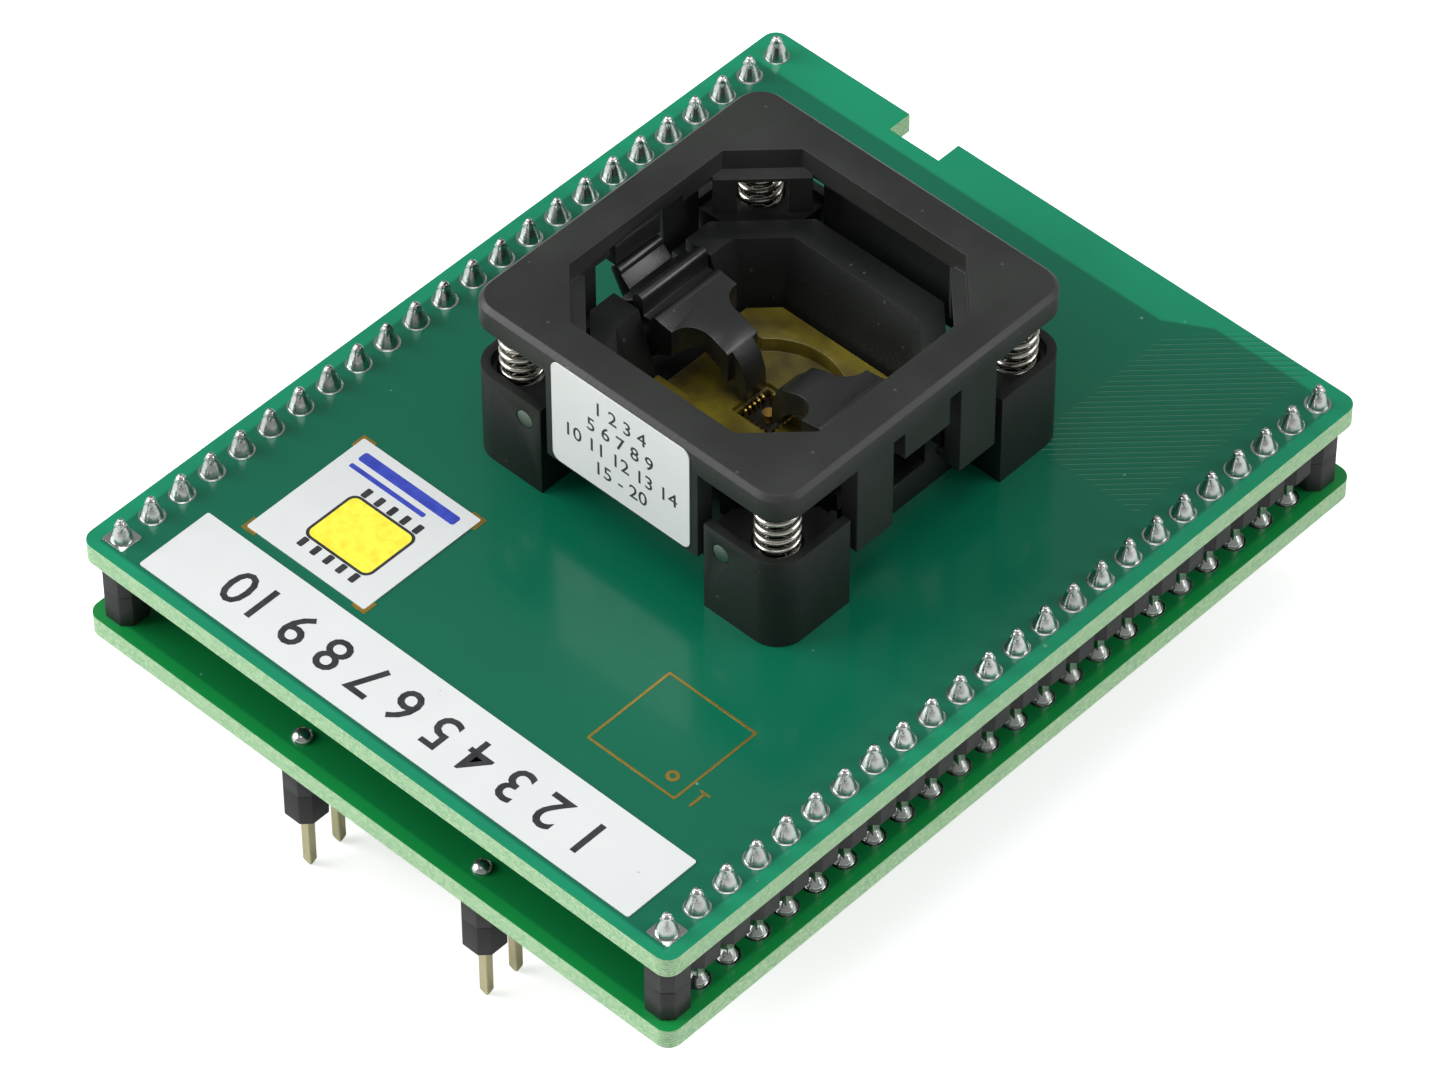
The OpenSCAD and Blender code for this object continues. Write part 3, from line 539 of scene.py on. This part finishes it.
def coil_tree():
    """Round wire wound into a spring whose end turns close up."""
    tree, w, gi, out = tree_with("coil", {
        "Turns": ("NodeSocketFloat", 11.0), "Coil Radius": ("NodeSocketFloat", 1.27 * MM),
        "Wire Radius": ("NodeSocketFloat", 0.21 * MM), "Tall": ("NodeSocketFloat", COIL_TALL),
        "Closed": ("NodeSocketFloat", 0.1), "Finish": ("NodeSocketMaterial", None)})
    line = w.add("GeometryNodeCurvePrimitiveLine", {"Start": (0, 0, 0), "End": (0, 0, 1)})
    points = w.add("GeometryNodeResampleCurve", {"Curve": line.outputs[0], "Count": 330})
    along = w.add("GeometryNodeSplineParameter").outputs["Factor"]
    turn = w.math("MULTIPLY", w.math("MULTIPLY", along, gi["Turns"]), 2 * math.pi)
    rise = w.add("ShaderNodeMapRange", {0: along, 3: 0.0, 4: 1.0}, interpolation_type="LINEAR")
    w.link(gi["Closed"], rise.inputs[1])
    w.link(w.math("SUBTRACT", 1.0, gi["Closed"]), rise.inputs[2])
    # the end turns climb by one wire thickness only
    wire = w.math("MULTIPLY", gi["Wire Radius"], 2.0)
    closed = w.math("MULTIPLY", w.math("MULTIPLY", gi["Closed"], gi["Turns"]), wire)
    low = w.math("MULTIPLY", w.share_to(along, gi["Closed"]), closed)
    high = w.math("MULTIPLY", w.share_to(w.math("SUBTRACT", 1.0, along), gi["Closed"]), closed)
    free = w.math("SUBTRACT", w.math("SUBTRACT", gi["Tall"], wire), w.math("MULTIPLY", closed, 2.0))
    climb = w.math("MULTIPLY", rise.outputs[0], free)
    height = w.math("ADD", w.math("ADD", climb, low), w.math("SUBTRACT", closed, high))
    height = w.math("ADD", height, gi["Wire Radius"])
    spot = w.add("ShaderNodeCombineXYZ", {
        0: w.math("MULTIPLY", gi["Coil Radius"], w.math("COSINE", turn)),
        1: w.math("MULTIPLY", gi["Coil Radius"], w.math("SINE", turn)), 2: height})
    bent = w.add("GeometryNodeSetPosition", {"Geometry": points.outputs[0], "Position": spot.outputs[0]})
    round_wire = w.add("GeometryNodeCurvePrimitiveCircle", {"Resolution": 12, "Radius": gi["Wire Radius"]})
    tube = w.add("GeometryNodeCurveToMesh", {
        "Curve": bent.outputs[0], "Profile Curve": round_wire.outputs[0], "Fill Caps": True})
    real = w.add("GeometryNodeRealizeInstances", {0: tube.outputs[0]})
    made = w.add("GeometryNodeSetMaterial", {"Geometry": real.outputs[0], "Material": gi["Finish"]})
    w.link(made.outputs[0], out)
    return tree


PIN_ROWS = pin_row_tree()
COIL = coil_tree()


def at_pins(name, form, material, level, row, uneven=0.08, seed=1, replaced=(), count=PINS):
    """A form at every pin of two rows."""
    template = bpy.data.objects.new("form", form)
    bpy.context.scene.collection.objects.link(template)
    mesh = grown(PIN_ROWS, {"Form": template, "Finish": material, "Count": count, "Row": row,
                            "Level": level, "Unevenness": uneven, "Seed": seed})
    bpy.data.objects.remove(template)
    mesh.shade_smooth()
    mesh.set_sharp_from_angle(angle=math.radians(50))
    return keep_mesh(name, mesh, material, replaced=replaced)


# ------------------------------------------------------------------ boards

def dressed(node, material):
    """Gives a CAD node, kept as it is, its material."""
    nodes[node].data.materials.clear()
    nodes[node].data.materials.append(material)


dressed("upper_board", UPPER_MASK)
dressed("lower_board", LOWER_MASK)

# ------------------------------------------------------------------ pins, strips and solder

for node in ("board_strip_left", "board_strip_right", "end_spacers", "plug_strip_left", "plug_strip_right",
             "plug_riser_left", "plug_riser_right"):
    softened(node, node + "_moulded", STRIP_BLACK, 0.07)
for node in ("board_pins_left", "board_pins_right"):
    softened(node, node + "_drawn", TIN, 0.06, angle=20)
for node in ("plug_pins_left", "plug_pins_right"):
    softened(node, node + "_drawn", PLUG_GOLD, 0.06, angle=20)

# profiles of the solder, as (radius, height) in mm
CONE = [(0.78, 0.0), (0.79, 0.06), (0.74, 0.22), (0.68, 0.42), (0.59, 0.66), (0.48, 0.9), (0.39, 1.1),
        (0.34, 1.25), (0.34, 1.38), (0.27, 1.52), (0.13, 1.6), (0, 1.62)]
LOW_CONE = [(0.74, 0.0), (0.75, 0.06), (0.66, 0.25), (0.52, 0.45), (0.4, 0.62), (0.34, 0.72), (0.32, 0.74)]
DOME = [(0.7, 0.0), (0.71, 0.08), (0.64, 0.26), (0.5, 0.42), (0.28, 0.53), (0, 0.57)]
PAD = [(0.86, 0.0), (0.86, 0.012), (0.84, 0.02), (0.5, 0.02)]
at_pins("upper_joints", lathe(CONE), SOLDER, DECK, BOARD_ROW, 0.08, 3, ("upper_solder",))
at_pins("lower_joints", lathe(LOW_CONE), SOLDER, SHELF, BOARD_ROW, 0.1, 11,
        ("lower_solder",), PINS - 2)
at_pins("plug_joints", lathe(DOME), SOLDER, SHELF, PLUG_ROW, 0.06, 17, ("plug_solder",))
at_pins("upper_pads", lathe(PAD, 24), SOLDER, DECK, BOARD_ROW, 0.0, 5)
at_pins("lower_pads", lathe(PAD, 24), SOLDER, SHELF, BOARD_ROW, 0.0, 5)
# the end pins' joints hang under the lower board, where the spacers leave room
UNDER_CONE = [(r, h * 0.8) for r, h in LOW_CONE]
under = []
for side in (-1, 1):
    for end in (-1, 1):
        drop = lathe(UNDER_CONE)
        drop.transform(Matrix.Translation((side * BOARD_ROW, end * ROW_END, UNDERSIDE))
                       @ Matrix.Rotation(math.pi, 4, "X"))
        under.append(drop)
keep_mesh("end_joints", joined(under), SOLDER)
dressed("contact_solder", SOLDER)

# ------------------------------------------------------------------ marks on the upper board

SQUARE = (12.6, -17.97)     # middle of the plated square, in mm
SQUARE_SIDE = 7.05
FIRST_DOT = (14.84, -20.27) # ring in the square's first corner
NUMERAL = (17.2, -20.6)     # the 1 beside that corner


def plated(outline, holes=()):
    """A thin mark on the upper board."""
    return prism(outline, DECK, DECK + PRINT, holes)


def square_outline(cx, cy, side, line):
    """A square drawn with a thin line."""
    return plated(rounded(side + line, side + line, 0.1, cx, cy, 2),
                  [rounded(side - line, side - line, 0.1, cx, cy, 2)])


def corner_mark(cx, cy, sx, sy, arm=1.1, line=0.35):
    """An L-shaped corner of a printed frame."""
    return plated([(cx, cy), (cx - sx * arm, cy), (cx - sx * arm, cy - sy * line),
                   (cx - sx * line, cy - sy * line), (cx - sx * line, cy - sy * arm),
                   (cx, cy - sy * arm)])


STICKER_X, STICKER_Y = (v / MM for v in middle_of("square_label")[:2])
STICKER_FRAME = 5.3         # half side of the printed frame round the sticker
numeral = lettering("1", 1.9, PRINT / MM)
numeral.transform(Matrix.Translation((NUMERAL[0] * MM, NUMERAL[1] * MM, DECK + PRINT / 2))
                  @ Matrix.Rotation(math.pi, 4, "Z"))
foot = plated(rounded(0.8, 0.15, 0.05, NUMERAL[0], NUMERAL[1] + 0.62))
gold = [foot, square_outline(*SQUARE, SQUARE_SIDE, 0.16),
        plated(ring(*FIRST_DOT, 0.44), [ring(*FIRST_DOT, 0.2)]), numeral]
for sx in (-1, 1):
    for sy in (-1, 1):
        gold.append(corner_mark(STICKER_X + sx * STICKER_FRAME, STICKER_Y + sy * STICKER_FRAME, sx, sy))
keep_mesh("gold_marks", joined(gold), MARK_GOLD)

# square pads under the first pin of each row
keep_mesh("first_pads", joined([
    prism(rounded(1.75, 1.75, 0.1, side * BOARD_ROW / MM, -ROW_END / MM), DECK, DECK + 0.03 * MM)
    for side in (-1, 1)]), SOLDER)

# ------------------------------------------------------------------ labels

PAPER_TOP = 0.09            # thickness of the paper under its print, in mm
INK = 0.01                  # thickness of the print


def size_of(node):
    """The size of a CAD node's box, in mm."""
    return [(high - low) / MM for low, high in zip(*box_of(node))]


def flat_label(name, node, corner):
    """Paper that lies on the upper board."""
    (w, l, _), (cx, cy, _) = size_of(node), middle_of(node)
    paper = prism(rounded(w, l, corner, cx / MM, cy / MM), DECK, DECK + PAPER_TOP * MM)
    keep_mesh(name, paper, PAPER, replaced=(node,))


flat_label("strip_paper", "strip_label", 0.15)
flat_label("square_paper", "square_label", 0.12)
digits = lettering("1 2 3 4 5 6 7 8 9 10", 3.9, INK, 0.03)
digits.transform(Matrix.Translation((0, middle_of("strip_label")[1], DECK + (PAPER_TOP + INK / 2) * MM))
                 @ Matrix.Rotation(math.pi, 4, "Z"))
keep_mesh("strip_print", digits, INK_BLACK)

# a plain chip sign and two bars, printed on the square label
SIGN_W, SIGN_L, SIGN_LINE = 5.2, 4.2, 0.4
SIGN_X, SIGN_Y = STICKER_X + 0.6, STICKER_Y - 0.9
LEG_PITCH, LEG_Y = 1.1, 2.75


def inked(outline, holes=()):
    """A printed patch on the square label."""
    return prism(outline, DECK + PAPER_TOP * MM, DECK + (PAPER_TOP + INK) * MM, holes)


def printed(name, meshes, ink):
    """Keeps patches of one ink as a piece."""
    keep_mesh(name, joined(meshes), ink)


sign = rounded(SIGN_W, SIGN_L, 0.5, SIGN_X, SIGN_Y)
printed("square_yellow", [inked(sign)], INK_YELLOW)
printed("square_black", [
    inked(rounded(SIGN_W + SIGN_LINE, SIGN_L + SIGN_LINE, 0.65, SIGN_X, SIGN_Y), [sign])]
    + [inked(rounded(0.45, 0.8, 0.1, SIGN_X + k * LEG_PITCH, SIGN_Y + side * LEG_Y))
       for k in (-2, -1, 0, 1, 2) for side in (-1, 1)], INK_BLACK)
printed("square_blue", [
    inked(rounded(8.2, 0.8, 0.2, STICKER_X, STICKER_Y + 3.9)),
    inked(rounded(6.4, 0.35, 0.1, STICKER_X - 0.9, STICKER_Y + 2.9))], INK_BLUE)

# label on the skirt: stands on the socket's front face
LINE_SIZE, LINE_STEP, FIRST_LINE = 1.55, 1.7, 2.55
FRONT = box_of("socket_base")[0][1]
skirt_w, _, skirt_h = size_of("skirt_label")
upright = (Matrix.Translation((0, FRONT, middle_of("skirt_label")[2]))
           @ Matrix.Rotation(math.pi / 2, 4, "X"))
skirt = prism(rounded(skirt_w, skirt_h, 0.6), 0, PAPER_TOP * MM)
skirt.transform(upright)
keep_mesh("skirt_paper", skirt, PAPER, "cover", ("skirt_label",))
lines = []
for row, words in enumerate(("1 2 3 4", "5 6 7 8 9", "10 11 12 13 14", "15 - 20")):
    line = lettering(words, LINE_SIZE, INK, 0.008)
    line.transform(upright @ Matrix.Translation((0, (FIRST_LINE - LINE_STEP * row) * MM,
                                                 (PAPER_TOP + INK / 2) * MM)))
    lines.append(line)
keep_mesh("skirt_print", joined(lines), INK_BLACK, "cover")

# ------------------------------------------------------------------ socket

softened("socket_base", "base_moulded", BASE_BLACK, 0.14, segments=3)
softened("cover", "cover_moulded", COVER_BLACK, 0.14, "cover", segments=3)
for node in ("latch_left", "latch_right"):
    softened(node, node + "_moulded", LATCH_BLACK, 0.16, node, segments=3)
softened("nest", "nest_moulded", AMBER, 0.18, segments=3)
softened("contact_housing", "housing_moulded", BASE_BLACK, 0.03)
for node in ("dowel_left", "dowel_right"):
    softened(node, node + "_ground", DOWEL_STEEL, 0.1)
for node in ("contacts_left", "contacts_right", "contacts_front", "contacts_back", "ground_contact"):
    dressed(node, CONTACT_GOLD)

for far, along_y in (("front", -1), ("back", 1)):
    for hand, along_x in (("left", -1), ("right", 1)):
        mesh = grown(COIL, {"Finish": SPRING_WIRE})
        spot = Vector((along_x * COIL_SPOT, SOCKET_Y + along_y * COIL_SPOT, COIL_FOOT))
        first_turn = math.radians(40 if along_x > 0 else 130)
        mesh.transform(Matrix.Translation(spot) @ Matrix.Rotation(first_turn, 4, "Z"))
        mesh.shade_smooth()
        coil = keep_mesh(f"coil_{far}_{hand}", mesh, SPRING_WIRE,
                         replaced=(f"spring_{far}_{hand}",))
        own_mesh(coil)

# ------------------------------------------------------------------ stage

def backdrop_finish():
    """Pale floor that looks white to the camera and through clear pieces, but keeps the shadow."""
    made, w, shader = finish("pale_floor", rough=0.9)
    shader.inputs["Base Color"].default_value = (0.8, 0.8, 0.8, 1)
    shader.inputs["Emission Color"].default_value = (1, 1, 1, 1)
    rays = w.add("ShaderNodeLightPath").outputs
    seen = w.math("MAXIMUM", rays["Is Camera Ray"], rays["Is Transmission Ray"])
    w.link(w.math("MULTIPLY", seen, 0.62), shader.inputs["Emission Strength"])
    return made


floor_mesh = bpy.data.meshes.new("floor")
FLOOR_REACH = 4.0
corners = [(x * FLOOR_REACH, y * FLOOR_REACH, 0) for x, y in ((-1, -1), (1, -1), (1, 1), (-1, 1))]
floor_mesh.from_pydata(corners, [], [(0, 1, 2, 3)])
floor_mesh.materials.append(backdrop_finish())
floor = bpy.data.objects.new("floor", floor_mesh)
bpy.context.scene.collection.objects.link(floor)


def lamp(name, spot, target, size, power):
    """A soft rectangular light that faces its target."""
    data = bpy.data.lights.new(name, "AREA")
    data.shape = "RECTANGLE"
    data.size, data.size_y = size
    data.energy = power
    obj = bpy.data.objects.new(name, data)
    obj.location = spot
    obj.rotation_euler = (Vector(target) - Vector(spot)).to_track_quat("-Z", "Y").to_euler()
    bpy.context.scene.collection.objects.link(obj)


MIDDLE = (0, 0, 0.015)
lamp("left_card", (-0.62, -0.5, 0.42), MIDDLE, (0.7, 0.6), 8.4)
lamp("right_card", (0.62, 0.42, 0.42), MIDDLE, (0.5, 0.6), 3.2)
lamp("top_card", (0.05, -0.1, 0.85), MIDDLE, (0.5, 0.5), 2.8)

world = bpy.data.worlds.new("studio")
bpy.context.scene.world = world
world.use_nodes = True
w = Weave(world.node_tree)
back = world.node_tree.nodes["Background"]
rays = w.add("ShaderNodeLightPath").outputs
seen = w.math("MAXIMUM", rays["Is Camera Ray"], rays["Is Transmission Ray"])
w.link(w.spread(seen, 0.0, 1.0, 0.3, 1.0), back.inputs["Strength"])
back.inputs["Color"].default_value = (1, 1, 1, 1)

# ------------------------------------------------------------------ camera

AZIMUTH, HEIGHT, ROLL = math.radians(43.359), math.radians(46.976), math.radians(-0.15)
AWAY = 0.470305             # from the target to the camera
FOCAL = 193.36
TARGET = Vector((0.003802, -0.004459, DECK))
toward = Vector((math.sin(AZIMUTH) * math.cos(HEIGHT), -math.cos(AZIMUTH) * math.cos(HEIGHT),
                 math.sin(HEIGHT)))
lens = bpy.data.cameras.new("camera")
lens.sensor_width = 36
lens.lens = FOCAL
lens.clip_start = 0.01
lens.clip_end = 20
camera = bpy.data.objects.new("camera", lens)
camera.location = TARGET + toward * AWAY
turned = (-toward).to_track_quat("-Z", "Y").to_matrix().to_4x4()
camera.rotation_euler = (turned @ Matrix.Rotation(ROLL, 4, "Z")).to_euler()
bpy.context.scene.collection.objects.link(camera)
bpy.context.scene.camera = camera
bpy.context.scene.view_settings.view_transform = "Standard"
